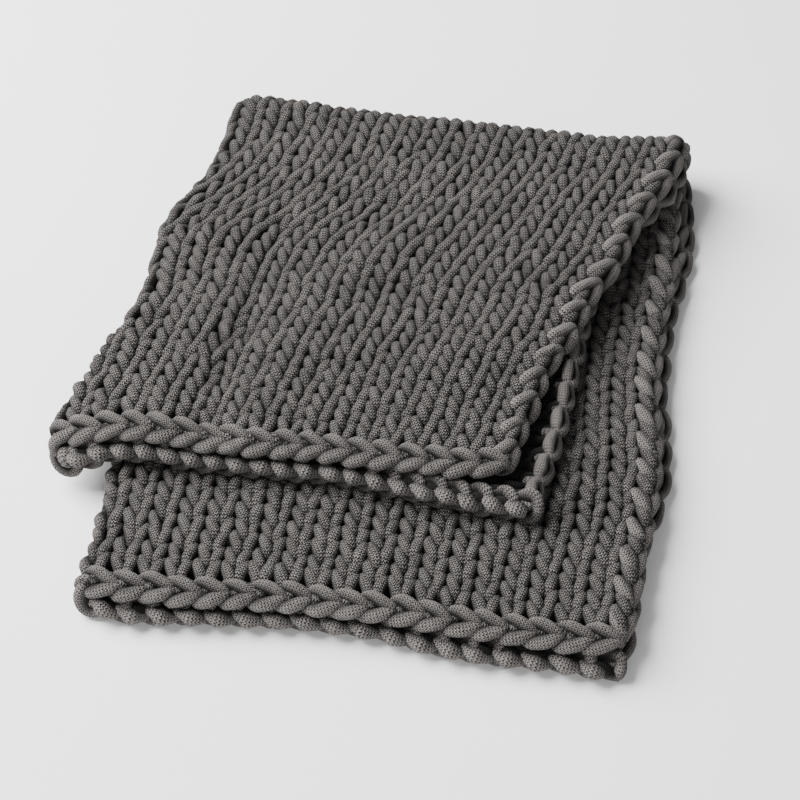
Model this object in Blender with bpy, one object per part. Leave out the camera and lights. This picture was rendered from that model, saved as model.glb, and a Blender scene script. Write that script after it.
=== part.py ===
"""A knitted throw folded in four, as one closed solid.

The cloth is folded once over its left side and once over the back, so that four layers lie on top of
each other. Columns of the grid run from one selvedge round the left fold to the other selvedge, and
rows run from the cast-on edge under the stack, round the back fold, to the bound-off edge on top.
The origin is under the middle of the stack, on the floor, and the front edge faces -Y.
"""

import math

import bmesh
import bpy
import numpy as np

MM = 0.001
HALF_THICKNESS = 11.0
LAYER_STEP = 24.0
FOLD_RADIUS = LAYER_STEP / 2
BACK_CENTRE_Z = 2 * LAYER_STEP
ORIGIN_X = 273.683
ORIGIN_Y = 405.428

QUARTER_TURN = math.pi / 2
FOLD_STEPS = 3
BACK_STEPS = 4
OUTER_RIBS = 19
INNER_RIBS = 19
BOTTOM_ROWS = 12
TOP_ROWS = 10
RIB_DEPTH = 6.0
SCALLOP = 2.5

BOTTOM_LENGTH = 735.0
TOP_LENGTH = 550.0
EDGE_ROUNDING = 6.0
EDGE_HALF_THICKNESS = 5.0
FOLD_CLEARANCE = 3.0
HIDDEN_TURN = 0.3

# Distance from the front edge against the height of the knit face over the middle of the cloth:
# the bound edge is a thick roll with a groove behind it.
# distance, height
FRONT_ROLL = (
    (0.0, 5.0),
    (6.0, 11.0),
    (16.0, 13.0),
    (29.0, 11.0),
    (37.0, 7.0),
)

# Side edges of the two layers of each pair, for depths from the front.
# depth, outside of the left fold, right edge of the lower layer, right edge of the upper layer
BOTTOM_SIDES = (
    (0, -5, 600, 606),
    (45, -12, 616, 613),
    (100, -8, 614, 615),
    (160, -13, 619, 619),
    (220, -14, 629, 624),
    (290, -13, 637, 624),
    (350, -12, 632, 616),
    (400, -11, 622, 612),
    (450, -10, 621, 609),
    (500, -8, 620, 610),
    (560, -6, 624, 613),
    (620, -3, 630, 616),
    (660, 0, 634, 614),
    (725, 5, 634, 609),
    (800, 9, 621, 609),
)
TOP_SIDES = (
    (165, -80, 489, 447),
    (195, -86, 492, 453),
    (230, -84, 498, 460),
    (262, -78, 504, 466),
    (310, -63, 509, 474),
    (345, -55, 511, 480),
    (382, -40, 513, 486),
    (420, -28, 514, 504),
    (460, -29, 516, 513),
    (505, -34, 521, 525),
    (555, -34, 530, 548),
    (590, -19, 538, 555),
    (620, -6, 550, 558),
    (665, 4, 572, 574),
    (720, 8, 604, 597),
    (765, 8, 615, 609),
    (800, 9, 618, 614),
)
BACK_LEFT = 9.0
BACK_RIGHT_OUTER = 615.0
BACK_RIGHT_INNER = 611.0

# Front edges of the four layers from the floor up, and the back fold, across the width.
# across, layer 1, layer 2, layer 3, layer 4, back
FRONTS = (
    (-80, 0, 8, 166, 188, 806),
    (-40, 0, 8, 166, 184, 806),
    (0, -2, 7, 180, 191, 806),
    (35, -9, 4, 182, 191, 818),
    (70, -8, 5, 180, 189, 818),
    (135, 1, 10, 180, 188, 815),
    (190, 8, 17, 182, 192, 811),
    (245, 13, 20, 185, 196, 811),
    (290, 14, 21, 185, 195, 811),
    (335, 16, 21, 176, 196, 814),
    (380, 7, 20, 173, 197, 811),
    (425, 1, 17, 170, 204, 812),
    (470, 0, 16, 166, 210, 809),
    (510, 4, 16, 173, 212, 811),
    (545, 6, 17, 175, 212, 820),
    (580, -2, 20, 175, 212, 824),
    (620, 10, 26, 175, 212, 820),
)

# Soft ridges of the top pair: two ends, half width and height.
# x, y, x, y, half width, height
RIDGES = (
    (40, 520, 72, 380, 34, 5.0),
    (72, 380, 40, 225, 30, 5.0),
    (285, 560, 205, 455, 36, 6.0),
    (205, 455, 150, 280, 34, 5.0),
    (370, 645, 285, 560, 34, 5.0),
    (420, 420, 330, 280, 40, 3.5),
)

# Shift of the top layer's ribs towards the left fold, as shares of the width, from the back fold (0)
# to the front edge (1): halfway along, the stitches are drawn over the fold.
# along, shift
RIB_SHIFTS = (
    (0.0, 0.0),
    (0.08, 0.0),
    (0.18, 0.015),
    (0.29, 0.05),
    (0.40, 0.10),
    (0.51, 0.118),
    (0.62, 0.112),
    (0.73, 0.085),
    (0.84, 0.06),
    (1.0, 0.035),
)
SHIFT_REACH = 0.25

# The left part of the top pair hangs over the left fold of the pair below.
DROOP_START = 12.0
DROOP_REACH = 94.0
DROOP_DEPTH = 34.0
DROOP_FADE = 150.0

TABLE_WINDOW = 18.0
TABLE_SAMPLES = 7
SOLVE_ROUNDS = 5
BACK_GUESS = 760.0


def looked_up(rows, column, place):
    """Value of a table's column at each place, averaged over a short window so its corners are soft."""
    table = np.array(rows, float)
    shifts = np.linspace(-TABLE_WINDOW, TABLE_WINDOW, TABLE_SAMPLES)
    values = [np.interp(place + shift, table[:, 0], table[:, column]) for shift in shifts]
    return np.mean(values, axis=0)


def eased(share):
    """Smooth step of a share held between 0 and 1."""
    held = np.clip(share, 0.0, 1.0)
    return held * held * (3.0 - 2.0 * held)


def ridge_lift(x, y):
    """Height that the soft ridges add to the top pair."""
    lift = np.zeros_like(x)
    for x_0, y_0, x_1, y_1, half_width, height in RIDGES:
        run = np.array([x_1 - x_0, y_1 - y_0], float)
        along = ((x - x_0) * run[0] + (y - y_0) * run[1]) / run.dot(run)
        along = np.clip(along, 0.0, 1.0)
        away = np.hypot(x - x_0 - along * run[0], y - y_0 - along * run[1])
        lift = np.maximum(lift, height * np.exp(-((away / half_width) ** 2)))
    return lift


def middle_surface(column, row):
    """Points of the cloth's middle surface, in millimetres.

    A column or row within a quarter turn of 0 is an angle of its fold, and what lies beyond it is a
    share of the flat cloth. Negative columns are the outer layer, negative rows the bottom pair.
    """
    fold_angle = np.minimum(np.abs(column), QUARTER_TURN)
    flat_share = np.maximum(np.abs(column) - QUARTER_TURN, 0.0)
    back_angle = np.minimum(np.abs(row), QUARTER_TURN)
    front_share = np.maximum(np.abs(row) - QUARTER_TURN, 0.0)
    is_inner = column > 0
    is_top = row > 0
    shifts = np.array(RIB_SHIFTS)
    shift = np.where(is_top & ~is_inner, np.interp(front_share, shifts[:, 0], shifts[:, 1]), 0.0)
    drawn = 1.0 - np.exp(-flat_share / SHIFT_REACH)
    flat_share = flat_share - shift * drawn * (1.0 - flat_share)
    offset = np.where(is_inner, 1.0, -1.0) * FOLD_RADIUS * np.sin(fold_angle)
    radius = LAYER_STEP - offset
    inner_share = (offset + FOLD_RADIUS) / LAYER_STEP
    at_back = np.cos(back_angle) ** 2
    y = BACK_GUESS - front_share * np.where(is_top, TOP_LENGTH, BOTTOM_LENGTH)
    x = BACK_RIGHT_OUTER * flat_share
    for _ in range(SOLVE_ROUNDS):
        left = np.where(is_top, looked_up(TOP_SIDES, 1, y), looked_up(BOTTOM_SIDES, 1, y))
        outer = np.where(is_top, looked_up(TOP_SIDES, 3, y), looked_up(BOTTOM_SIDES, 2, y))
        inner = np.where(is_top, looked_up(TOP_SIDES, 2, y), looked_up(BOTTOM_SIDES, 3, y))
        left = left + (BACK_LEFT - left) * at_back + HALF_THICKNESS
        outer = outer + (BACK_RIGHT_OUTER - outer) * at_back
        inner = inner + (BACK_RIGHT_INNER - inner) * at_back
        right = np.where(is_inner, inner, outer)
        x = left + FOLD_RADIUS * (1.0 - np.cos(fold_angle)) + flat_share * (right - left - FOLD_RADIUS)
        bottom_front = (1.0 - inner_share) * looked_up(FRONTS, 1, x) + inner_share * looked_up(FRONTS, 2, x)
        top_front = inner_share * looked_up(FRONTS, 3, x) + (1.0 - inner_share) * looked_up(FRONTS, 4, x)
        front = np.where(is_top, top_front, bottom_front)
        centre = looked_up(FRONTS, 5, x) - 2.0 * LAYER_STEP
        y = centre + radius * np.cos(back_angle) - front_share * (centre - front)
    z = BACK_CENTRE_Z + np.where(is_top, 1.0, -1.0) * radius * np.sin(back_angle)
    fade = np.where(is_top, eased((centre - y) / DROOP_FADE), 0.0)
    reach = np.maximum(DROOP_START - x, 0.0) / DROOP_REACH
    slope = np.arctan(2.0 * DROOP_DEPTH * reach / DROOP_REACH * fade)
    turned_x = x + offset * np.sin(slope)
    turned_z = z - offset * (np.cos(slope) - 1.0)
    lift = fade * (ridge_lift(x, y) - DROOP_DEPTH * reach**2)
    return np.stack([turned_x, y, turned_z + lift], axis=-1)


def surface_normals(column, row):
    """Unit normals of the middle surface on its knit side."""
    step = 1e-3
    across = middle_surface(column + step, row) - middle_surface(column - step, row)
    along = middle_surface(column, row + step) - middle_surface(column, row - step)
    normals = np.cross(across, along)
    return normals / np.linalg.norm(normals, axis=-1, keepdims=True)


def column_places():
    """Columns of the grid, with the rib phase of each: 0 on a rib, 1 in a groove."""
    places = []
    for side, ribs in ((-1.0, OUTER_RIBS), (1.0, INNER_RIBS)):
        for step in range(1, FOLD_STEPS + 1):
            places.append((side * QUARTER_TURN * step / FOLD_STEPS, 0.5))
        for step in range(1, 2 * ribs):
            places.append((side * (QUARTER_TURN + step / (2 * ribs)), float(step % 2)))
        rounding = EDGE_ROUNDING / BACK_RIGHT_OUTER
        places.append((side * (QUARTER_TURN + 1.0 - rounding), 0.5))
        places.append((side * (QUARTER_TURN + 1.0), 0.5))
    places.append((0.0, 0.5))
    return np.array(sorted(places))


def row_places():
    """Rows of the grid from the cast-on edge under the stack to the bound-off edge on top."""
    places = [0.0]
    for side, count, length in ((-1.0, BOTTOM_ROWS, BOTTOM_LENGTH), (1.0, TOP_ROWS, TOP_LENGTH)):
        for step in range(1, BACK_STEPS + 1):
            places.append(side * QUARTER_TURN * step / BACK_STEPS)
        last = 1.0 - FRONT_ROLL[-1][0] / length
        for step in range(1, count):
            places.append(side * (QUARTER_TURN + last * step / count))
        for distance, _ in FRONT_ROLL:
            places.append(side * (QUARTER_TURN + 1.0 - distance / length))
    return np.array(sorted(places))


def knit_face_heights(column, row, phase):
    """Height of the knit face over the middle surface: ribs, a rolled front edge and rounded sides."""
    roll = np.array(FRONT_ROLL)
    length = np.where(row > 0, TOP_LENGTH, BOTTOM_LENGTH)
    from_front = (QUARTER_TURN + 1.0 - np.abs(row)) * length
    from_side = (QUARTER_TURN + 1.0 - np.abs(column)) * BACK_RIGHT_OUTER
    flat_along = np.abs(row) > QUARTER_TURN
    lies_on_top = np.where(column > 0, (row < 0) & flat_along, row > -HIDDEN_TURN)
    turned = np.clip(np.abs(column) / QUARTER_TURN, 0.0, 1.0) ** 2
    rolled = from_front < roll[-1, 0] - 1.0
    groove = np.where(lies_on_top & ~rolled, RIB_DEPTH * phase * turned, 0.0)
    height = HALF_THICKNESS - groove
    roll_height = np.interp(from_front, roll[:, 0], roll[:, 1])
    is_visible = lies_on_top | (from_front < EDGE_ROUNDING)
    height = np.where(rolled & is_visible, roll_height, height)
    edge = EDGE_HALF_THICKNESS + (HALF_THICKNESS - EDGE_HALF_THICKNESS) * from_side / EDGE_ROUNDING
    return np.minimum(height, np.maximum(edge, EDGE_HALF_THICKNESS))


def purl_face_depths(column, row):
    """Depth of the purl face under the middle surface, less at the rounded edges and inside the fold."""
    length = np.where(row > 0, TOP_LENGTH, BOTTOM_LENGTH)
    from_front = (QUARTER_TURN + 1.0 - np.abs(row)) * length
    from_side = (QUARTER_TURN + 1.0 - np.abs(column)) * BACK_RIGHT_OUTER
    nearest = np.clip(np.minimum(from_front, from_side) / EDGE_ROUNDING, 0.0, 1.0)
    folded = np.clip(1.0 - np.abs(column) / (QUARTER_TURN + 0.01), 0.0, 1.0)
    depth = EDGE_HALF_THICKNESS + (HALF_THICKNESS - EDGE_HALF_THICKNESS) * nearest
    return depth - FOLD_CLEARANCE * eased(2.0 * folded)


def grid_faces(start, columns, rows, is_flipped):
    """Quads of a grid of vertices stored row by row."""
    faces = []
    for row in range(rows - 1):
        for column in range(columns - 1):
            corner = start + row * columns + column
            face = (corner, corner + 1, corner + columns + 1, corner + columns)
            faces.append(face[::-1] if is_flipped else face)
    return faces


def strip_faces(first, second, first_places, second_places):
    """Triangles between two lines of vertices, taken forward by whichever line is behind."""
    faces = []
    i = 0
    j = 0
    while i < len(first) - 1 or j < len(second) - 1:
        can_first = i < len(first) - 1
        can_second = j < len(second) - 1
        if can_first and (not can_second or first_places[i + 1] <= second_places[j + 1]):
            faces.append((first[i], second[j], first[i + 1]))
            i += 1
        else:
            faces.append((first[i], second[j], second[j + 1]))
            j += 1
    return faces


def throw_mesh():
    """The folded cloth as one closed mesh."""
    columns = column_places()
    rows = row_places()
    grooves = (columns[:, 1] == 1.0) & (np.abs(columns[:, 0]) > QUARTER_TURN)
    purl_columns = columns[~grooves]

    knit_column, knit_row = np.meshgrid(columns[:, 0], rows)
    phase = np.broadcast_to(columns[:, 1], knit_column.shape)
    height = knit_face_heights(knit_column, knit_row, phase)
    knit = middle_surface(knit_column, knit_row)
    knit = knit + surface_normals(knit_column, knit_row) * height[..., None]
    at_front = np.abs(knit_row) > QUARTER_TURN + 1.0 - 1e-6
    knit[..., 1] += np.where(at_front, SCALLOP * (phase - 0.5) * 2.0, 0.0)
    underside = (knit_column < -QUARTER_TURN + 1e-6) & (knit_row < -QUARTER_TURN + 1e-6)
    knit[..., 2] = np.where(underside & (height > HALF_THICKNESS - 1e-6), 1.0, knit[..., 2])
    knit[..., 2] = np.maximum(knit[..., 2], 1.0) - 1.0

    purl_column, purl_row = np.meshgrid(purl_columns[:, 0], rows)
    depth = purl_face_depths(purl_column, purl_row)
    purl = middle_surface(purl_column, purl_row)
    purl = purl - surface_normals(purl_column, purl_row) * depth[..., None]
    purl[..., 2] -= 1.0

    points = np.concatenate([knit.reshape(-1, 3), purl.reshape(-1, 3)])
    points -= np.array([ORIGIN_X, ORIGIN_Y, 0.0])
    points *= MM

    wide = len(columns)
    narrow = len(purl_columns)
    tall = len(rows)
    start = wide * tall
    faces = grid_faces(0, wide, tall, False) + grid_faces(start, narrow, tall, True)
    last_row = (tall - 1) * wide
    last_purl_row = start + (tall - 1) * narrow
    front_knit = list(range(wide))
    front_purl = list(range(start, start + narrow))
    back_knit = list(range(last_row, last_row + wide))
    back_purl = list(range(last_purl_row, last_purl_row + narrow))
    left_knit = list(range(0, wide * tall, wide))
    left_purl = list(range(start, start + narrow * tall, narrow))
    right_knit = list(range(wide - 1, wide * tall, wide))
    right_purl = list(range(start + narrow - 1, start + narrow * tall, narrow))
    faces += strip_faces(front_knit, front_purl, columns[:, 0], purl_columns[:, 0])
    top = strip_faces(back_knit, back_purl, columns[:, 0], purl_columns[:, 0])
    faces += [face[::-1] for face in top]
    left = strip_faces(left_knit, left_purl, rows, rows)
    faces += [face[::-1] for face in left]
    faces += strip_faces(right_knit, right_purl, rows, rows)

    mesh = bpy.data.meshes.new("throw")
    mesh.from_pydata(points.tolist(), [], faces)
    mesh.validate()
    return mesh


def merge_underside(mesh):
    """Join the flat faces that rest on the floor into one face, and check the faces point out."""
    shape = bmesh.new()
    shape.from_mesh(mesh)
    bmesh.ops.triangulate(shape, faces=shape.faces[:])
    resting = [face for face in shape.faces if max(abs(vert.co.z) for vert in face.verts) < 1e-7]
    edges = {edge for face in resting for edge in face.edges}
    flat_edges = [edge for edge in edges if all(face in resting for face in edge.link_faces)]
    bmesh.ops.dissolve_edges(shape, edges=flat_edges, use_verts=True)
    if shape.calc_volume(signed=True) < 0:
        bmesh.ops.reverse_faces(shape, faces=shape.faces[:])
    for face in shape.faces:
        face.smooth = len(face.verts) < 5
    shape.to_mesh(mesh)
    shape.free()


def wool_material():
    """Matt dark grey knitted cloth."""
    material = bpy.data.materials.new("throw")
    material.use_nodes = True
    shader = material.node_tree.nodes["Principled BSDF"]
    shader.inputs["Base Color"].default_value = (0.14, 0.128, 0.122, 1.0)
    shader.inputs["Roughness"].default_value = 0.95
    return material


def main():
    """Build the throw."""
    for item in list(bpy.data.objects):
        bpy.data.objects.remove(item)
    mesh = throw_mesh()
    merge_underside(mesh)
    mesh.materials.append(wool_material())
    throw = bpy.data.objects.new("throw", mesh)
    bpy.context.scene.collection.objects.link(throw)


main()
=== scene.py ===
"""Looks of a chunky knitted throw folded in four: every stitch is yarn that lies on the folded cloth.

Lengths in the tables are in millimetres from the front left corner of the stack, as in the solid's own
tables. Wales are counted across the cloth and rows along it.
"""

import logging
import math
from dataclasses import dataclass, field
from enum import Enum

import bpy
import numpy as np
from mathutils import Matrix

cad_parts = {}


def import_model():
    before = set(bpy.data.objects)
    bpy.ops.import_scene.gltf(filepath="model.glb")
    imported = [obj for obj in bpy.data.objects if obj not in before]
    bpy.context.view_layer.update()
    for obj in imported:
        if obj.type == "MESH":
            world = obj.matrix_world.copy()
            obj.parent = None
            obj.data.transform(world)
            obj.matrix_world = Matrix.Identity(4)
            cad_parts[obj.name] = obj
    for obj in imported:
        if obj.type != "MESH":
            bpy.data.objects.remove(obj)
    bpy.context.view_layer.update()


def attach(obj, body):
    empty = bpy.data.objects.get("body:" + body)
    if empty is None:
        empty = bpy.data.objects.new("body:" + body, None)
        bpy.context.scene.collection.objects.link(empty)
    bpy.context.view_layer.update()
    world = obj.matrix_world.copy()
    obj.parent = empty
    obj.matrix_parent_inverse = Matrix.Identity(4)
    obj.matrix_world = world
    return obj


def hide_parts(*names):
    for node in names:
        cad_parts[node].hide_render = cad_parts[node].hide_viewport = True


LOG = logging.getLogger("throw")
MM = 0.001
QUARTER_TURN = math.pi / 2
FULL_TURN = 2 * math.pi
TINY = 1e-9

HALF_THICKNESS = 11.0
LAYER_STEP = 24.0
FOLD_RADIUS = LAYER_STEP / 2
BACK_CENTRE_Z = 2 * LAYER_STEP
ORIGIN = (273.683, 405.428, 1.0)

# Side edges of the two layers of each pair, for depths from the front.
# depth, left fold, right edge of the lower layer, right edge of the upper layer
BOTTOM_SIDES = (
    (0, -5, 600, 606),
    (45, -12, 616, 613),
    (100, -8, 614, 615),
    (160, -13, 619, 619),
    (220, -14, 629, 624),
    (290, -13, 637, 624),
    (350, -12, 632, 616),
    (400, -11, 622, 612),
    (450, -10, 621, 609),
    (500, -8, 620, 610),
    (560, -6, 624, 613),
    (620, -3, 630, 616),
    (660, 0, 634, 614),
    (725, 5, 634, 609),
    (800, 9, 621, 609),
)
TOP_SIDES = (
    (165, -80, 489, 447),
    (195, -86, 492, 453),
    (230, -84, 498, 460),
    (262, -78, 504, 466),
    (310, -63, 509, 474),
    (345, -55, 511, 480),
    (382, -40, 513, 486),
    (420, -28, 514, 504),
    (460, -29, 516, 513),
    (505, -34, 521, 525),
    (555, -34, 530, 548),
    (590, -19, 538, 555),
    (620, -6, 550, 558),
    (665, 4, 572, 574),
    (720, 8, 604, 597),
    (765, 8, 615, 609),
    (800, 9, 618, 614),
)

# Front edges of the four layers from the floor up, and the back fold, across the width.
# across, layer 1, layer 2, layer 3, layer 4, back
FRONTS = (
    (-80, 0, 8, 166, 188, 806),
    (-40, 0, 8, 166, 184, 806),
    (0, -2, 7, 180, 191, 806),
    (35, -9, 4, 182, 191, 818),
    (70, -8, 5, 180, 189, 818),
    (135, 1, 10, 180, 188, 815),
    (190, 8, 17, 182, 192, 811),
    (245, 13, 20, 185, 196, 811),
    (290, 14, 21, 185, 195, 811),
    (335, 16, 21, 176, 196, 814),
    (380, 7, 20, 173, 197, 811),
    (425, 1, 17, 170, 204, 812),
    (470, 0, 16, 166, 210, 809),
    (510, 4, 16, 173, 212, 811),
    (545, 6, 17, 175, 212, 820),
    (580, -2, 20, 175, 212, 824),
    (620, 10, 26, 175, 212, 820),
)

# Soft ridges and hollows of the top pair: two ends, half width and height.
# x, y, x, y, half width, height
RIDGES = (
    (40, 520, 72, 380, 34, 5.0),
    (72, 380, 40, 225, 30, 5.0),
    (285, 560, 205, 455, 36, 6.0),
    (205, 455, 150, 280, 34, 5.0),
    (370, 645, 285, 560, 34, 5.0),
    (420, 420, 330, 280, 40, 3.5),
    (126, 568, 117, 429, 20, -5.0),
    (117, 429, 109, 219, 20, -5.0),
    (173, 589, 355, 647, 14, -3.5),
)

# Wale that lies on the left fold of the top pair, from the back fold (0) to the front edge (1).
# along, wale
FOLD_WALES = (
    (0.0, -0.5),
    (0.16, -0.5),
    (0.26, -0.75),
    (0.36, -1.35),
    (0.46, -2.2),
    (0.56, -2.5),
    (0.66, -2.4),
    (0.76, -1.95),
    (0.86, -1.6),
    (1.0, -1.2),
)
BOTTOM_FOLD_WALE = -0.5

# Columns of the tables of sides and fronts.
LEFT, LOWER_RIGHT, UPPER_RIGHT = 1, 2, 3
LAYER_1, LAYER_2, LAYER_3, LAYER_4, BACK = 1, 2, 3, 4, 5

TABLE_WINDOW = 18.0
TABLE_SAMPLES = 7

EDGE_WALE = 19.5
BODY_WALES = 37
BOTTOM_ROWS = 35
TOP_ROWS = 30
BOTTOM_BODY_SHARE = 0.961
TOP_LENGTH = 612.0
BACK_ROW_PITCH = 20.5
ROW_PITCH_DROP = 2.2

CAMERA_PLACE = (0.303317, -1.719428, 1.932)
CAMERA_TURN = (41.5, 0.0, 9.4)
CAMERA_LENS = 96.0

Array = np.ndarray


def looked_up(rows: tuple, column: int, place: Array) -> Array:
    """Value of a table's column, averaged over a short window so that its corners are soft.

    Args:
        rows: the table, with places in its first column.
        column: the number of the column that is read.
        place: the places that the value is wanted at.

    Returns:
        The column's value at each place.
    """
    table = np.array(rows, float)
    shifts = np.linspace(-TABLE_WINDOW, TABLE_WINDOW, TABLE_SAMPLES)
    values = [np.interp(place + shift, table[:, 0], table[:, column]) for shift in shifts]
    return np.mean(values, axis=0)


def eased(share: Array) -> Array:
    """Smooth step of a share held between 0 and 1."""
    held = np.clip(share, 0.0, 1.0)
    return held * held * (3.0 - 2.0 * held)


def unit(vectors: Array) -> Array:
    """Vectors of length one."""
    return vectors / np.maximum(np.linalg.norm(vectors, axis=-1, keepdims=True), TINY)


def row_share(row: Array) -> Array:
    """Share along each pair: -1 at the cast-on edge, 0 on the back fold and 1 at the bound-off edge.

    Args:
        row: rows from the back fold, negative in the bottom pair.

    Returns:
        The share of the pair's length that lies between the back fold and the row.
    """
    bottom = row / BOTTOM_ROWS * BOTTOM_BODY_SHARE
    top = (BACK_ROW_PITCH - 0.5 * ROW_PITCH_DROP * row / TOP_ROWS) * row / TOP_LENGTH
    return np.where(row < 0, bottom, top)


@dataclass
class ClothShape:
    """Middle surface of the folded cloth, in wales across and rows along.

    Back_left, back_outer and back_inner are where the side edges cross the back fold. The left part of
    the top pair droops past droop_start. The guesses start the search for the place of a row.
    """

    back_left: float = 9.0
    back_outer: float = 615.0
    back_inner: float = 611.0
    droop_start: float = 12.0
    droop_reach: float = 94.0
    droop_depth: float = 34.0
    droop_fade: float = 150.0
    back_guess: float = 760.0
    top_guess: float = 575.0
    bottom_guess: float = 750.0
    rounds: int = 6
    step: float = 0.02

    def ridge_lift(self, x: Array, y: Array) -> Array:
        """Height that the soft ridges and hollows add to the top pair.

        Args:
            x: places across the stack.
            y: places from its front.

        Returns:
            The height at each place, negative in a hollow.
        """
        lift = np.zeros_like(x)
        hollow = np.zeros_like(x)
        for x_0, y_0, x_1, y_1, half_width, height in RIDGES:
            run = np.array([x_1 - x_0, y_1 - y_0], float)
            along = ((x - x_0) * run[0] + (y - y_0) * run[1]) / run.dot(run)
            along = np.clip(along, 0.0, 1.0)
            away = np.hypot(x - x_0 - along * run[0], y - y_0 - along * run[1])
            change = height * np.exp(-((away / half_width) ** 2))
            lift = np.maximum(lift, change)
            hollow = np.minimum(hollow, change)
        return lift + hollow

    def middle(self, wale: Array, row: Array) -> Array:
        """Points of the middle surface.

        Args:
            wale: wales from the fold line of the cloth, negative in the outer layers.
            row: rows from the back fold, negative in the bottom pair.

        Returns:
            The points, one to each pair of wale and row.
        """
        wale, row = np.broadcast_arrays(np.asarray(wale, float), np.asarray(row, float))
        share = row_share(row)
        is_top = share > 0
        along = np.abs(share)
        folds = np.array(FOLD_WALES)
        fold_wale = np.where(is_top, np.interp(along, folds[:, 0], folds[:, 1]), BOTTOM_FOLD_WALE)
        is_inner = wale > fold_wale
        wide = np.where(is_inner, EDGE_WALE - fold_wale, EDGE_WALE + fold_wale)
        across = np.abs(wale - fold_wale) / wide
        quarter = FOLD_RADIUS * QUARTER_TURN
        at_back = np.zeros_like(across)
        y = self.back_guess - along * np.where(is_top, self.top_guess, self.bottom_guess)
        for _ in range(self.rounds):
            left = np.where(is_top, looked_up(TOP_SIDES, LEFT, y), looked_up(BOTTOM_SIDES, LEFT, y))
            outer = np.where(
                is_top, looked_up(TOP_SIDES, UPPER_RIGHT, y), looked_up(BOTTOM_SIDES, LOWER_RIGHT, y)
            )
            inner = np.where(
                is_top, looked_up(TOP_SIDES, LOWER_RIGHT, y), looked_up(BOTTOM_SIDES, UPPER_RIGHT, y)
            )
            left = left + (self.back_left - left) * at_back + HALF_THICKNESS
            outer = outer + (self.back_outer - outer) * at_back
            inner = inner + (self.back_inner - inner) * at_back
            right = np.where(is_inner, inner, outer)
            arc = across * (right - left - FOLD_RADIUS + quarter)
            fold_angle = np.minimum(arc, quarter) / FOLD_RADIUS
            x = left + FOLD_RADIUS * (1.0 - np.cos(fold_angle)) + np.maximum(arc - quarter, 0.0)
            offset = np.where(is_inner, 1.0, -1.0) * FOLD_RADIUS * np.sin(fold_angle)
            radius = LAYER_STEP - offset
            inner_share = (offset + FOLD_RADIUS) / LAYER_STEP
            bottom_front = looked_up(FRONTS, LAYER_1, x) + inner_share * (
                looked_up(FRONTS, LAYER_2, x) - looked_up(FRONTS, LAYER_1, x)
            )
            top_front = looked_up(FRONTS, LAYER_4, x) + inner_share * (
                looked_up(FRONTS, LAYER_3, x) - looked_up(FRONTS, LAYER_4, x)
            )
            front = np.where(is_top, top_front, bottom_front)
            centre = looked_up(FRONTS, BACK, x) - 2.0 * LAYER_STEP
            bend = radius * QUARTER_TURN
            run = along * (bend + centre - front)
            back_angle = np.minimum(run, bend) / radius
            at_back = np.cos(back_angle) ** 2
            y = centre + radius * np.cos(back_angle) - np.maximum(run - bend, 0.0)
        z = BACK_CENTRE_Z + np.where(is_top, 1.0, -1.0) * radius * np.sin(back_angle)
        fade = np.where(is_top, eased((centre - y) / self.droop_fade), 0.0)
        reach = np.maximum(self.droop_start - x, 0.0) / self.droop_reach
        slope = np.arctan(2.0 * self.droop_depth * reach / self.droop_reach * fade)
        turned_x = x + offset * np.sin(slope)
        turned_z = z - offset * (np.cos(slope) - 1.0)
        lift = fade * (self.ridge_lift(x, y) - self.droop_depth * reach**2)
        return np.stack([turned_x, y, turned_z + lift], axis=-1)

    def normal(self, wale: Array, row: Array) -> Array:
        """Direction square to the middle surface, out of its knit side.

        Args:
            wale: wales from the fold line of the cloth.
            row: rows from the back fold.

        Returns:
            A vector of length one for each pair of wale and row.
        """
        across = self.middle(wale + self.step, row) - self.middle(wale - self.step, row)
        along = self.middle(wale, row + self.step) - self.middle(wale, row - self.step)
        return unit(np.cross(across, along))

    def place(self, wale: Array, row: Array, height: Array) -> Array:
        """Points at a height over the knit side of the middle surface, in metres in the object's frame."""
        lift = self.normal(wale, row) * np.asarray(height)[..., None]
        return (self.middle(wale, row) + lift - np.array(ORIGIN)) * MM


@dataclass
class Strand:
    """One length of yarn: centre line and radius in metres, height over the cloth in millimetres, tone.

    Outward is the direction from which each point is seen, and it is shorter where more of the yarn is
    open to view. Sides turned away from it, and yarn of little height, get painted shade in the yarn's
    material; the chains' high tone paints them lighter, a painted light.
    """

    points: Array
    radius: Array
    height: Array
    tone: float
    outward: Array


class Seen(Enum):
    """How closely a part of the cloth is looked at: points to a stitch."""

    NEAR = 20
    UNDER = 11
    HIDDEN = 7


@dataclass(frozen=True)
class Loop:
    """Form of one stitch.

    Swing, gather and lean are in wales and rise is in rows. Depth and radius are in millimetres.
    """

    swing: float = 0.21
    gather: float = 0.01
    rise: float = 0.92
    depth: float = 5.6
    plateau: float = 1.4
    lap: float = 0.12
    radius: float = 7.2
    swell: float = 0.08
    lean: float = -0.11


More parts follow.
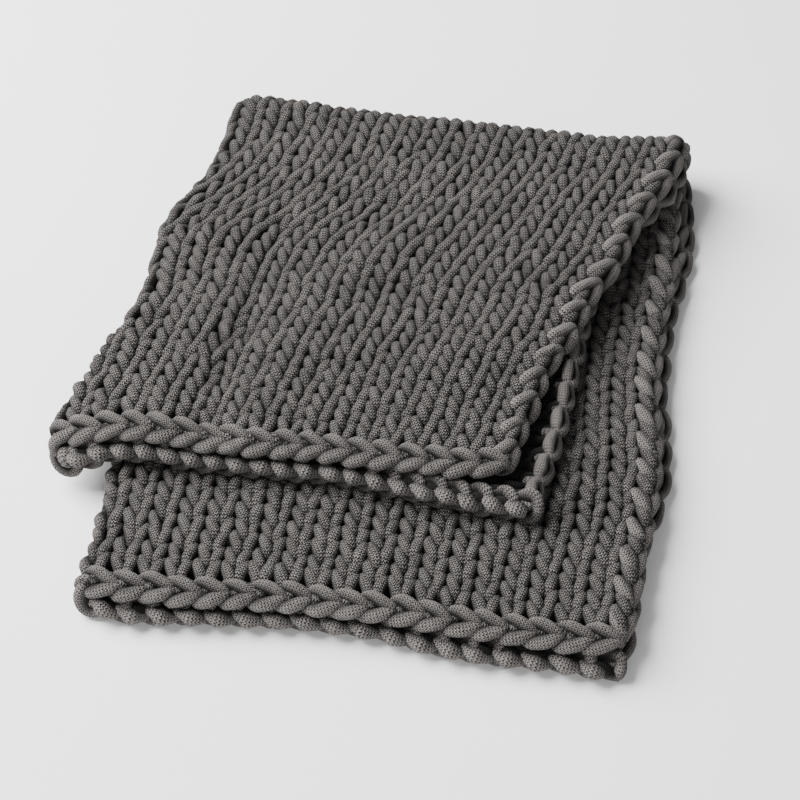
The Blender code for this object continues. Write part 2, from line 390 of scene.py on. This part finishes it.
@dataclass
class KnitBody:
    """The rows of stitches between the edges.

    A row goes on under the side chains by end_share of a stitch. The first and last rows are short and
    lie deeper, under the front chains. Drift, climb, bulge and fat are how uneven the stitches are. The
    other sizes bound what is seen of the layers, in wales and in shares along a pair.
    """

    shape: ClothShape
    loop: Loop
    seed: int = 4
    end_share: float = 0.45
    end_rise: float = 0.4
    end_sink: float = 3.0
    drift: float = 0.06
    climb: float = 0.07
    bulge: float = 1.0
    fat: float = 0.07
    tones: tuple = (0.3, 0.6)
    fold_reach: float = 1.6
    outer_back: float = -0.06
    outer_front: float = -0.93
    outer_side: float = -17.2
    back: float = 0.05
    top_front: float = 0.9
    top_side: float = 14.8
    bottom_front: float = -0.66
    bottom_side: float = 14.2
    strands: list = field(default_factory=list)

    def seen(self, wale: float, row: float) -> Seen:
        """How closely a stitch is looked at.

        Args:
            wale: its wale.
            row: its row.

        Returns:
            The grade of detail that it gets.
        """
        share = float(row_share(np.array(float(row))))
        folds = np.array(FOLD_WALES)
        fold_wale = float(np.interp(share, folds[:, 0], folds[:, 1])) if share > 0 else BOTTOM_FOLD_WALE
        near_fold = abs(wale - fold_wale) < self.fold_reach
        if wale < fold_wale:
            is_near = share > self.outer_back or near_fold or share < self.outer_front
            return Seen.NEAR if is_near or wale < self.outer_side else Seen.UNDER
        if share > 0:
            is_near = (near_fold or wale > self.top_side or share > self.top_front) and share > self.back
        else:
            is_near = share < self.bottom_front or wale > self.bottom_side
            is_near = is_near or (near_fold and share < -self.back)
        return Seen.NEAR if is_near else Seen.HIDDEN

    def turns(self, row: float) -> Array:
        """Places along a row's yarn, closer together where it is seen.

        Args:
            row: the row.

        Returns:
            The places, a full turn to each stitch.
        """
        first = -0.5 * BODY_WALES
        places = []
        for index in range(-1, BODY_WALES + 1):
            count = self.seen(first + index + 0.5, row).value
            steps = index + np.arange(count) / count
            is_kept = (steps >= -self.end_share) & (steps < BODY_WALES + self.end_share)
            places.extend(steps[is_kept])
        return np.array(places) * FULL_TURN

    def make(self) -> list:
        """All rows of yarn.

        Returns:
            A strand for each row, from the cast-on edge to the bound-off edge.
        """
        chance = np.random.default_rng(self.seed)
        loop = self.loop
        rows = BOTTOM_ROWS + TOP_ROWS
        knots = np.arange(BODY_WALES + 1)
        for index in range(-1, rows + 1):
            row = index - BOTTOM_ROWS + 0.5
            is_end = index < 0 or index == rows
            tall = self.end_rise if is_end else loop.rise
            turn = self.turns(row)
            stitch = turn / FULL_TURN
            uneven = chance.normal(0.0, 1.0, (4, BODY_WALES + 1))
            drifts, climbs, bulges, fats = (np.interp(stitch, knots, values) for values in uneven)
            lapped = turn + loop.lap * np.sin(turn)
            wale = -0.5 * BODY_WALES + stitch + loop.swing * np.sin(2 * turn) + loop.gather * np.sin(turn)
            rise = -tall * np.cos(turn)
            wale = wale + loop.lean * rise + self.drift * drifts
            front = 1.0 - 2.0 * (np.cos(lapped) ** 2) ** loop.plateau
            height = loop.depth * front + self.bulge * bulges - (self.end_sink if is_end else 0.0)
            radius = loop.radius * (1 + loop.swell * front) * (1 + self.fat * fats)
            line_row = row + rise + self.climb * climbs
            points = self.shape.place(wale, line_row, height)
            tone = float(chance.uniform(*self.tones))
            outward = self.shape.normal(wale, line_row)
            self.strands.append(Strand(points, radius * MM, height, tone, outward))
        return self.strands


# One link of the chain along a side edge, which spans two rows: the leg on the cloth's side is fat and
# slants across, and the outer one is short.
# along (links), across (mm), height (mm), share of the radius
SIDE_LINK = (
    (-0.42, 3.0, -3.5, 0.85),
    (-0.24, 1.5, 4.0, 1.05),
    (0.00, -4.0, 7.0, 1.20),
    (0.22, -9.5, 6.0, 1.20),
    (0.40, -13.0, 1.0, 1.05),
    (0.52, -9.0, -4.5, 0.85),
    (0.58, 0.0, -5.5, 0.85),
    (0.50, 7.0, -4.0, 0.90),
    (0.28, 9.5, -1.0, 1.00),
    (0.04, 8.5, 0.5, 1.05),
    (-0.22, 6.0, -1.0, 0.95),
    (-0.42, 2.0, -5.0, 0.85),
    (-0.22, -1.0, -9.0, 0.90),
    (0.10, 0.0, -10.5, 1.05),
    (0.38, 1.0, -8.5, 0.90),
)

# One link of a front edge's chain: up one leg, round the head behind the next link, down the other leg, and
# behind the chain to the next link.
# along (links), across (mm), height (mm), share of the radius
LINK = (
    (-0.52, -2.0, -3.0, 0.82),
    (-0.34, 2.0, 3.0, 0.95),
    (-0.02, 7.2, 5.0, 1.08),
    (0.30, 11.0, 4.0, 1.08),
    (0.58, 11.6, 0.0, 0.95),
    (0.76, 6.0, -4.0, 0.82),
    (0.80, 0.0, -5.0, 0.80),
    (0.76, -5.5, -4.0, 0.82),
    (0.58, -10.4, 0.0, 0.95),
    (0.30, -9.8, 4.0, 1.08),
    (-0.02, -6.5, 5.0, 1.08),
    (-0.34, -1.5, 3.0, 0.95),
    (-0.50, 2.0, -3.5, 0.82),
    (-0.30, 2.0, -9.5, 0.82),
    (-0.02, 0.0, -12.0, 1.14),
    (0.28, -2.0, -9.5, 0.82),
)


def smooth_line(knots: Array, steps: int) -> Array:
    """A smooth line through knots.

    Args:
        knots: the knots, a row for each.
        steps: the number of steps between each two.

    Returns:
        The points of the line, a row for each.
    """
    before = np.concatenate([knots[:1], knots[:-1]])
    after = np.concatenate([knots[1:], knots[-1:]])
    slope = 0.5 * (after - before)
    parts = []
    for step in range(steps):
        t = step / steps
        start = (2 * t**3 - 3 * t**2 + 1) * knots[:-1] + (t**3 - 2 * t**2 + t) * slope[:-1]
        parts.append(start + (3 * t**2 - 2 * t**3) * knots[1:] + (t**3 - t**2) * slope[1:])
    line = np.stack(parts, axis=1).reshape(-1, knots.shape[1])
    return np.concatenate([line, knots[-1:]])


@dataclass
class EdgeChain:
    """A chain of links along an edge of the cloth, each pulled through the one before.

    Start and end give wale and row, and side is a step of a millimetre across the chain, in wales and
    rows. The turn, in degrees, and the lift, in millimetres, are given for the outer and inner layers, and
    change over crossing_width wales at the wale crossing. Under_swell makes the yarn fatter, by that share
    for each radian, where the chain is turned under. Both scatters go with the columns of the link's table.
    Core_depth and outward_share set which sides of the yarn are open to view: sides turned in towards
    the chain's core get painted shade. The high tone paints the chains lighter than the rows, a painted
    light.
    """

    shape: ClothShape
    start: tuple
    end: tuple
    links: int
    side: tuple
    turn: tuple = (0.0, 0.0)
    lift: tuple = (0.0, 0.0)
    radius: float = 7.4
    link: tuple = LINK
    seed: int = 7
    steps: int = 3
    crossing: float = -1.0
    crossing_width: float = 2.4
    under_swell: float = 0.17
    knot_scatter: tuple = (0.02, 0.4, 0.3, 0.02)
    link_scatter: tuple = (0.03, 0.7, 0.5, 0.02)
    core_depth: float = 2.0
    outward_share: float = 0.6
    # Painted light: a tone above the rows' range paints the chains lighter than the rows of the same yarn.
    tone: float = 1.7

    def make(self) -> list:
        """The chain's yarn.

        Returns:
            One strand, in a list.
        """
        chance = np.random.default_rng(self.seed)
        start = np.array(self.start, float)
        run = (np.array(self.end, float) - start) / self.links
        side = np.array(self.side, float)
        link = np.array(self.link)
        knots = []
        for index in range(self.links):
            uneven = chance.normal(0.0, 1.0, link.shape) * np.array(self.knot_scatter)
            made = link + uneven + chance.normal(0.0, 1.0, link.shape[1]) * np.array(self.link_scatter)
            made[:, 0] += index + 0.5
            knots.append(made)
        line = smooth_line(np.concatenate(knots), self.steps)
        along = start + line[:, :1] * run
        inner = eased((along[:, 0] - self.crossing) / self.crossing_width + 0.5)
        turn = np.radians(self.turn[0] + (self.turn[1] - self.turn[0]) * inner)
        lift = self.lift[0] + (self.lift[1] - self.lift[0]) * inner
        across = line[:, 1] * np.cos(turn) - line[:, 2] * np.sin(turn)
        height = line[:, 1] * np.sin(turn) + line[:, 2] * np.cos(turn) + lift
        place = along + across[:, None] * side
        points = self.shape.place(place[:, 0], place[:, 1], height)
        core = self.shape.place(along[:, 0], along[:, 1], lift - self.core_depth)
        # The chains are set at full height, so the painted dip shade leaves them unshaded.
        seen_height = np.full(len(points), self.radius)
        outward = unit(points - core) * self.outward_share
        radius = self.radius * line[:, 3] * (1.0 + self.under_swell * np.maximum(-turn, 0.0))
        return [Strand(points, radius * MM, seen_height, self.tone, outward)]


class Value:
    """A socket that can be reckoned with by ordinary signs."""

    def __init__(self, graph: "Graph", socket: object) -> None:
        """Keep the socket and the graph that it belongs to."""
        self.graph = graph
        self.socket = socket

    def __add__(self, other: object) -> "Value":
        """This value and another together."""
        return self.graph.math("ADD", self, other)

    def __radd__(self, other: object) -> "Value":
        """A number and this value together."""
        return self.graph.math("ADD", other, self)

    def __sub__(self, other: object) -> "Value":
        """This value less another."""
        return self.graph.math("SUBTRACT", self, other)

    def __rsub__(self, other: object) -> "Value":
        """A number less this value."""
        return self.graph.math("SUBTRACT", other, self)

    def __mul__(self, other: object) -> "Value":
        """This value times another."""
        return self.graph.math("MULTIPLY", self, other)

    def __rmul__(self, other: object) -> "Value":
        """A number times this value."""
        return self.graph.math("MULTIPLY", other, self)


class Graph:
    """Adds nodes to a tree and links them."""

    def __init__(self, tree: bpy.types.NodeTree) -> None:
        """Keep the tree."""
        self.tree = tree

    def fill(self, made: bpy.types.Node, inputs: dict) -> None:
        """Set or link a node's inputs.

        Args:
            made: the node.
            inputs: values or numbers by socket name or number.
        """
        for key, value in inputs.items():
            if isinstance(value, Value):
                self.tree.links.new(value.socket, made.inputs[key])
            else:
                made.inputs[key].default_value = value

    def node(self, kind: str, inputs: dict | None = None, output: int | str = 0, **settings: object) -> Value:
        """Add a node.

        Args:
            kind: the node's type name.
            inputs: values or numbers by socket name or number.
            output: the output that is handed on.
            **settings: the node's own options.

        Returns:
            The chosen output.
        """
        made = self.tree.nodes.new(kind)
        for name, value in settings.items():
            setattr(made, name, value)
        self.fill(made, inputs or {})
        return Value(self, made.outputs[output])

    def math(self, operation: str, *values: object) -> Value:
        """A number worked out from others."""
        return self.node("ShaderNodeMath", dict(enumerate(values)), operation=operation)

    def mix(self, share: object, first: object, second: object) -> Value:
        """A colour between two."""
        inputs = {"Factor": share, 6: first, 7: second}
        return self.node("ShaderNodeMix", inputs, 2, data_type="RGBA")

    def ramp(
        self, value: object, low: float, high: float, to_low: float = 0.0, to_high: float = 1.0
    ) -> Value:
        """A number moved from one range to another and held there."""
        inputs = {0: value, 1: low, 2: high, 3: to_low, 4: to_high}
        return self.node("ShaderNodeMapRange", inputs)

    def noise(self, scale: float, detail: float, roughness: float = 0.5) -> Value:
        """Noise that is fixed to the object."""
        inputs = {"Vector": self.node("ShaderNodeTexCoord", output="Object"), "Scale": scale}
        return self.node("ShaderNodeTexNoise", inputs | {"Detail": detail, "Roughness": roughness}, "Fac")

    def attribute(self, name: str, output: str = "Fac") -> Value:
        """An attribute of the mesh."""
        return self.node("ShaderNodeAttribute", output=output, attribute_name=name)


def new_material(name: str, **inputs: object) -> tuple:
    """A material with its shader.

    Args:
        name: the material's name.
        **inputs: numbers for the shader's sockets, with _ for each space in their names.

    Returns:
        The material, its graph and its shader.
    """
    material = bpy.data.materials.new(name)
    material.use_nodes = True
    shader = material.node_tree.nodes["Principled BSDF"]
    for key, value in inputs.items():
        shader.inputs[key.replace("_", " ")].default_value = value
    return material, Graph(material.node_tree), shader


@dataclass(frozen=True)
class YarnFinish:
    """Soft tube yarn with a fine knitted skin in a heathered warm grey.

    The skin is columns of small slanted stitches, a course of them every so many metres. Fibre and patch
    are noise. The weights say how much of each goes into the shade, which runs from dark to light over
    shades; the dark end is painted shade in the pits of the skin as well as the heather's darker fibres.
    Sides turned to the cloth and yarn that dips under its neighbours are painted with shade: they fade to
    the painted gap shade.
    """

    light: tuple = (0.203, 0.1866, 0.1782, 1.0)
    # Dark end of the shade range: painted shade in the pits of the skin, as well as the heather's darker
    # fibres.
    dark: tuple = (0.004, 0.0037, 0.0035, 1.0)
    fleck: tuple = (0.22, 0.202, 0.193, 1.0)
    # Painted shade: the near-black colour that the dips and inward-turned sides of the yarn fade to.
    painted_gap_shade: tuple = (0.004, 0.0035, 0.003, 1.0)
    columns: int = 14
    course: float = 0.0030
    slant: float = 1.3
    column_scatter: float = 0.35
    course_scatter: float = 0.4
    rib_share: float = 0.16
    bead_share: float = 0.42
    fibre_scale: float = 700.0
    fibre_roughness: float = 0.6
    fibre_range: tuple = (0.3, 0.7)
    patch_scale: float = 60.0
    skin_weight: float = 0.85
    fibre_weight: float = 0.4
    patch_weight: float = 0.4
    tone_weight: float = 0.2
    shades: tuple = (0.53, 0.98)
    fleck_range: tuple = (0.60, 0.72)
    fleck_share: float = 0.35
    # Painted shade ranges: low yarn height and sides turned away from outward fade towards the painted gap
    # shade.
    painted_dip_range: tuple = (-4.0, 5.4, 0.02, 1.0)
    painted_side_range: tuple = (0.2, 0.98, 0.0, 1.0)
    relief: float = 0.0016
    relief_strength: float = 0.9
    fibre_relief: float = 0.5
    roughness: float = 0.92
    specular: float = 0.08
    sheen: float = 0.04
    sheen_roughness: float = 0.6

    def material(self) -> bpy.types.Material:
        """The yarn's material.

        Returns:
            The material, which reads the tubes' own attributes.
        """
        made, graph, shader = new_material(
            "yarn",
            Roughness=self.roughness,
            Specular_IOR_Level=self.specular,
            Sheen_Weight=self.sheen,
            Sheen_Roughness=self.sheen_roughness,
        )
        fibre = graph.noise(self.fibre_scale, 3.0, self.fibre_roughness)
        skin = self.skin(graph, fibre)
        patch = graph.noise(self.patch_scale, 2.0)
        # Painted shade mask: 0 where yarn dips below its neighbours or its side turns to the cloth, where the
        # colour fades to the painted gap shade.
        painted_shade_mask = graph.ramp(graph.attribute("height"), *self.painted_dip_range)
        painted_shade_mask = painted_shade_mask * graph.ramp(graph.attribute("facing"), *self.painted_side_range)
        shade = skin * self.skin_weight + graph.ramp(fibre, *self.fibre_range) * self.fibre_weight
        shade = shade + (patch - 0.5) * self.patch_weight
        # Tone: a random tone for each row; on the chains it is a painted light.
        shade = shade + (graph.attribute("tone") - 0.5) * self.tone_weight
        colour = graph.mix(graph.ramp(shade, *self.shades), self.dark, self.light)
        colour = graph.mix(graph.ramp(fibre, *self.fleck_range) * self.fleck_share, colour, self.fleck)
        colour = graph.mix(painted_shade_mask, self.painted_gap_shade, colour)
        relief = {"Height": skin + fibre * self.fibre_relief, "Distance": self.relief}
        bump = graph.node("ShaderNodeBump", relief | {"Strength": self.relief_strength})
        graph.fill(shader, {"Base Color": colour, "Normal": bump})
        return made

    def skin(self, graph: Graph, fibre: Value) -> Value:
        """The small stitches of the yarn's skin.

        Args:
            graph: the material's graph.
            fibre: the fine noise that makes them uneven.

        Returns:
            A number from about 0, in the pits, to about 1.
        """
        around = graph.attribute("around", "Vector")
        parts = [graph.node("ShaderNodeSeparateXYZ", {0: around}, axis) for axis in ("Y", "X")]
        angle = graph.math("ARCTAN2", *parts)
        column = angle * (self.columns / FULL_TURN) + (fibre - 0.5) * self.column_scatter
        course = graph.attribute("along") * (1.0 / self.course) + (fibre - 0.5) * self.course_scatter
        rib = graph.math("COSINE", column * FULL_TURN)
        lean = graph.math("PINGPONG", column, 0.5)
        bead = graph.math("COSINE", (course + lean * self.slant) * FULL_TURN)
        return rib * self.rib_share + bead * self.bead_share + 0.5


@dataclass(frozen=True)
class PaintedShadeGroundFinish:
    """Painted shade: the near-black inside of the cloth seen between the stitches, where the inner yarn lies
    in shade.
    """

    # Painted shade: both colours are near-black, the shade between the stitches, varied by the fibre noise.
    colour: tuple = (0.016, 0.0147, 0.0140, 1.0)
    deeper_painted_shade: tuple = (0.006, 0.0055, 0.0052, 1.0)
    fibre_scale: float = 500.0
    fibre_range: tuple = (0.3, 0.7)
    relief: float = 0.0005
    relief_strength: float = 0.6

    def material(self) -> bpy.types.Material:
        """The ground's material.

        Returns:
            The material.
        """
        made, graph, shader = new_material("ground", Roughness=1.0, Specular_IOR_Level=0.0)
        fibre = graph.noise(self.fibre_scale, 3.0)
        colour = graph.mix(graph.ramp(fibre, *self.fibre_range), self.deeper_painted_shade, self.colour)
        relief = {"Height": fibre, "Distance": self.relief, "Strength": self.relief_strength}
        graph.fill(shader, {"Base Color": colour, "Normal": graph.node("ShaderNodeBump", relief)})
        return made


class YarnTubes:
    """Turns strands into closed tubes with a node tree that follows each centre line."""

    def __init__(self, material: bpy.types.Material, sides: int) -> None:
        """Make the node tree.

        Args:
            material: the yarn's material.
            sides: the number of sides of a tube.
        """
        self.material = material
        self.sides = sides
        self.tree = self.tube_tree()

    def tube_tree(self) -> bpy.types.NodeTree:
        """The node tree: lines in, tubes out.

        Returns:
            The tree, with inputs for the number of sides and the finish.
        """
        tree = bpy.data.node_groups.new("yarn tubes", "GeometryNodeTree")
        face = tree.interface
        face.new_socket("Geometry", in_out="INPUT", socket_type="NodeSocketGeometry")
        face.new_socket("Sides", in_out="INPUT", socket_type="NodeSocketInt")
        face.new_socket("Finish", in_out="INPUT", socket_type="NodeSocketMaterial")
        face.new_socket("Geometry", in_out="OUTPUT", socket_type="NodeSocketGeometry")
        graph = Graph(tree)
        entry = tree.nodes.new("NodeGroupInput")
        lines, sides, finish = (Value(graph, entry.outputs[index]) for index in range(3))
        curves = graph.node("GeometryNodeMeshToCurve", {"Mesh": lines})
        radius = graph.node("GeometryNodeInputNamedAttribute", {"Name": "radius"}, "Attribute")
        curves = graph.node("GeometryNodeSetCurveRadius", {"Curve": curves, "Radius": radius})
        ring = graph.node("GeometryNodeCurvePrimitiveCircle", {"Resolution": sides, "Radius": 1.0})
        position = graph.node("GeometryNodeInputPosition")
        ring = graph.node(
            "GeometryNodeStoreNamedAttribute",
            {"Geometry": ring, "Name": "around", "Value": position},
            data_type="FLOAT_VECTOR",
            domain="POINT",
        )
        tubes = tree.nodes.new("GeometryNodeCurveToMesh")
        graph.fill(tubes, {"Curve": curves, "Profile Curve": ring, "Fill Caps": True})
        if "Scale" in tubes.inputs:
            graph.fill(tubes, {"Scale": radius})
        made = Value(graph, tubes.outputs[0])
        made = graph.node("GeometryNodeSetShadeSmooth", {"Geometry": made, "Shade Smooth": True})
        made = graph.node("GeometryNodeRealizeInstances", {"Geometry": made})
        made = graph.node("GeometryNodeSetMaterial", {"Geometry": made, "Material": finish})
        leave = tree.nodes.new("NodeGroupOutput")
        tree.links.new(made.socket, leave.inputs[0])
        return tree

    def piece(self, name: str, strands: list) -> bpy.types.Object:
        """One mesh object of tubes.

        Args:
            name: the piece's name.
            strands: the yarn in it.

        Returns:
            The object, at the origin and unturned.
        """
        lines = bpy.data.objects.new(name, self.lines(name, strands))
        bpy.context.scene.collection.objects.link(lines)
        modifier = lines.modifiers.new("tubes", "NODES")
        modifier.node_group = self.tree
        settings = {"Sides": self.sides, "Finish": self.material}
        for item in self.tree.interface.items_tree:
            if item.in_out == "INPUT" and item.name in settings:
                modifier[item.identifier] = settings[item.name]
        depsgraph = bpy.context.evaluated_depsgraph_get()
        solid = bpy.data.meshes.new_from_object(lines.evaluated_get(depsgraph))
        lines.modifiers.clear()
        mesh = lines.data
        lines.data = solid
        bpy.data.meshes.remove(mesh)
        solid.name = name
        self.store_facing(solid)
        triangles = sum(len(face.vertices) - 2 for face in solid.polygons)
        LOG.info("%s: %d strands, %d triangles", name, len(strands), triangles)
        return lines

    def lines(self, name: str, strands: list) -> bpy.types.Mesh:
        """The centre lines as a mesh of edges that carries what the tubes need.

        Args:
            name: the mesh's name.
            strands: the yarn in it.

        Returns:
            The mesh.
        """
        points = np.concatenate([strand.points for strand in strands])
        radius = np.concatenate([strand.radius for strand in strands])
        points[:, 2] = np.maximum(points[:, 2], radius)
        along = []
        edges = []
        tones = []
        start = 0
        for strand in strands:
            count = len(strand.points)
            steps = np.linalg.norm(np.diff(strand.points, axis=0), axis=1)
            along.append(np.concatenate([[0.0], np.cumsum(steps)]))
            tones.append(np.full(count, strand.tone))
            edges.extend((start + index, start + index + 1) for index in range(count - 1))
            start += count
        mesh = bpy.data.meshes.new(name)
        mesh.from_pydata(points.tolist(), edges, [])
        values = {
            "radius": radius,
            "along": np.concatenate(along),
            "tone": np.concatenate(tones),
            "height": np.concatenate([strand.height for strand in strands]),
        }
        for key, column in values.items():
            mesh.attributes.new(key, "FLOAT", "POINT").data.foreach_set("value", column.astype(np.float32))
        outward = np.concatenate([strand.outward for strand in strands])
        for key, column in {"centre": points, "outward": outward}.items():
            store = mesh.attributes.new(key, "FLOAT_VECTOR", "POINT")
            store.data.foreach_set("vector", column.astype(np.float32).ravel())
        return mesh

    def store_facing(self, solid: bpy.types.Mesh) -> None:
        """Store how far each point of the tubes faces outward, from -1 to 1, to place the painted shade.

        Args:
            solid: the mesh of tubes.
        """
        count = len(solid.vertices)
        vectors = {}
        for key in ("position", "centre", "outward"):
            values = np.empty(count * 3, np.float32)
            solid.attributes[key].data.foreach_get("vector", values)
            vectors[key] = values.reshape(-1, 3)
        away = unit(vectors["position"] - vectors["centre"])
        outward = vectors["outward"]
        facing = np.sum(away * outward, axis=1) + 1.0 - np.linalg.norm(outward, axis=1)
        solid.attributes.new("facing", "FLOAT", "POINT").data.foreach_set("value", facing.astype(np.float32))


@dataclass
class Ground:
    """The thin middle of the cloth that closes the gaps between the stitches. It stands for the inner yarn,
    and its near-black colour is painted shade.

    Wales and rows are its numbers of points across and along. Its height, in millimetres, is below the
    middle surface, and it stays floor_gap metres off the floor.
    """

    shape: ClothShape
    wales: int = 118
    rows: int = 170
    height: float = -3.0
    margin_wale: float = 0.45
    margin_row: float = 0.4
    floor_gap: float = 0.002

    def make(self, material: bpy.types.Material) -> bpy.types.Object:
        """The sheet as one open mesh.

        Args:
            material: its material.

        Returns:
            The object.
        """
        wale = np.linspace(-EDGE_WALE + self.margin_wale, EDGE_WALE - self.margin_wale, self.wales)
        row = np.linspace(-BOTTOM_ROWS - self.margin_row, TOP_ROWS + self.margin_row, self.rows)
        wale, row = np.meshgrid(wale, row)
        points = self.shape.place(wale, row, np.full(wale.shape, self.height)).reshape(-1, 3)
        points[:, 2] = np.maximum(points[:, 2], self.floor_gap)
        faces = []
        for y in range(self.rows - 1):
            for x in range(self.wales - 1):
                corner = y * self.wales + x
                faces.append((corner, corner + 1, corner + self.wales + 1, corner + self.wales))
        mesh = bpy.data.meshes.new("ground")
        mesh.from_pydata(points.tolist(), [], faces)
        mesh.materials.append(material)
        mesh.polygons.foreach_set("use_smooth", [True] * len(faces))
        made = bpy.data.objects.new("ground", mesh)
        bpy.context.scene.collection.objects.link(made)
        LOG.info("ground: %d triangles", 2 * len(faces))
        return made


@dataclass
class Throw:
    """The whole throw: rows, edge chains and ground.

    The gaps are from the last rows to the front chains, in rows. The pitches are the millimetres of a row
    or wale where a chain crosses it. The turns and lifts go with those of a chain.
    """

    shape: ClothShape
    rows_per_piece: int = 14
    row_sides: int = 9
    chain_sides: int = 10
    bound_gap: float = 0.75
    cast_gap: float = 0.72
    corner_wale: float = 19.0
    side_wale: float = 18.85
    bound_links: int = 39
    cast_links: int = 38
    side_links: int = 33
    bound_pitch: float = 18.5
    cast_pitch: float = 21.0
    side_pitch: float = 30.0
    bound_turn: tuple = (20.0, -60.0)
    bound_lift: tuple = (1.0, -2.0)
    cast_turn: tuple = (-65.0, 22.0)
    cast_lift: tuple = (-2.0, 1.0)

    def make(self) -> list:
        """All pieces.

        Returns:
            The objects, the ground first.
        """
        yarn = YarnFinish().material()
        tubes = YarnTubes(yarn, self.row_sides)
        edges = YarnTubes(yarn, self.chain_sides)
        pieces = [Ground(self.shape).make(PaintedShadeGroundFinish().material())]
        rows = KnitBody(self.shape, Loop()).make()
        for first in range(0, len(rows), self.rows_per_piece):
            name = f"rows_{first // self.rows_per_piece + 1}"
            pieces.append(tubes.piece(name, rows[first : first + self.rows_per_piece]))
        for name, chain in self.chains().items():
            pieces.append(edges.piece(name, chain.make()))
        return pieces

    def chains(self) -> dict:
        """The chains along the four edges.

        Returns:
            The chains by the names of their pieces.
        """
        top = TOP_ROWS + self.bound_gap
        bottom = -BOTTOM_ROWS - self.cast_gap
        corner, side = self.corner_wale, self.side_wale
        return {
            "bound_edge": EdgeChain(
                self.shape,
                (-corner, top),
                (corner, top),
                self.bound_links,
                (0.0, -1 / self.bound_pitch),
                turn=self.bound_turn,
                lift=self.bound_lift,
                seed=7,
            ),
            "cast_edge": EdgeChain(
                self.shape,
                (corner, bottom),
                (-corner, bottom),
                self.cast_links,
                (0.0, 1 / self.cast_pitch),
                turn=self.cast_turn,
                lift=self.cast_lift,
                seed=8,
            ),
            "outer_side": EdgeChain(
                self.shape,
                (-side, bottom),
                (-side, top),
                self.side_links,
                (-1 / self.side_pitch, 0.0),
                link=SIDE_LINK,
                seed=9,
            ),
            "inner_side": EdgeChain(
                self.shape,
                (side, bottom),
                (side, top),
                self.side_links,
                (1 / self.side_pitch, 0.0),
                link=SIDE_LINK,
                seed=10,
            ),
        }


@dataclass(frozen=True)
class SoftLight:
    """A square soft light that faces the middle of the floor: place and size in metres, power in watts."""

    name: str
    place: tuple
    size: float
    power: float

    def make(self) -> None:
        """Put the light in the scene."""
        lamp = bpy.data.lights.new(self.name, "AREA")
        lamp.shape = "SQUARE"
        lamp.size = self.size
        lamp.energy = self.power
        made = bpy.data.objects.new(self.name, lamp)
        made.location = self.place
        x, y, z = self.place
        made.rotation_euler = (math.atan2(math.hypot(x, y), z), 0.0, math.atan2(y, x) + QUARTER_TURN)
        bpy.context.scene.collection.objects.link(made)


@dataclass(frozen=True)
class Studio:
    """Pale floor, soft light from the upper left and the camera."""

    floor_size: float = 14.0
    floor_place: tuple = (0.0, 2.0, 0.0)
    floor_tone: tuple = (0.92, 0.92, 0.92, 1.0)
    floor_shade: tuple = (0.90, 0.90, 0.90, 1.0)
    floor_roughness: float = 0.8
    floor_specular: float = 0.2
    cloud_scale: float = 3.0
    cloud_detail: float = 4.0
    cloud_range: tuple = (0.3, 0.7)
    world_strength: float = 0.18
    view_reach: float = 50.0
    lights: tuple = (
        SoftLight("key", (-2.5, 0.5, 2.8), 3.2, 680.0),
        SoftLight("fill", (0.5, -3.4, 1.5), 3.0, 84.0),
    )

    def make(self) -> None:
        """Floor, lights and camera."""
        self.make_floor()
        for light in self.lights:
            light.make()
        world = bpy.data.worlds.new("studio")
        world.use_nodes = True
        world.node_tree.nodes["Background"].inputs["Color"].default_value = (1.0, 1.0, 1.0, 1.0)
        world.node_tree.nodes["Background"].inputs["Strength"].default_value = self.world_strength
        bpy.context.scene.world = world
        camera = bpy.data.objects.new("camera", bpy.data.cameras.new("camera"))
        camera.location = CAMERA_PLACE
        camera.rotation_euler = [math.radians(angle) for angle in CAMERA_TURN]
        camera.data.lens = CAMERA_LENS
        camera.data.clip_end = self.view_reach
        bpy.context.scene.collection.objects.link(camera)
        bpy.context.scene.camera = camera

    def make_floor(self) -> None:
        """The plain pale floor."""
        bpy.ops.mesh.primitive_plane_add(size=self.floor_size, location=self.floor_place)
        floor = bpy.context.object
        floor.name = "floor"
        material, graph, shader = new_material(
            "floor", Roughness=self.floor_roughness, Specular_IOR_Level=self.floor_specular
        )
        cloud = graph.noise(self.cloud_scale, self.cloud_detail)
        tone = graph.mix(graph.ramp(cloud, *self.cloud_range), self.floor_shade, self.floor_tone)
        graph.fill(shader, {"Base Color": tone})
        floor.data.materials.append(material)


def main() -> None:
    """Build the scene round the frame."""
    logging.basicConfig(level=logging.INFO, format="%(name)s: %(message)s")
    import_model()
    pieces = Throw(ClothShape()).make()
    for piece in pieces:
        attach(piece, "root")
        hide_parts("throw")
    Studio().make()


if __name__ == "__main__":
    main()
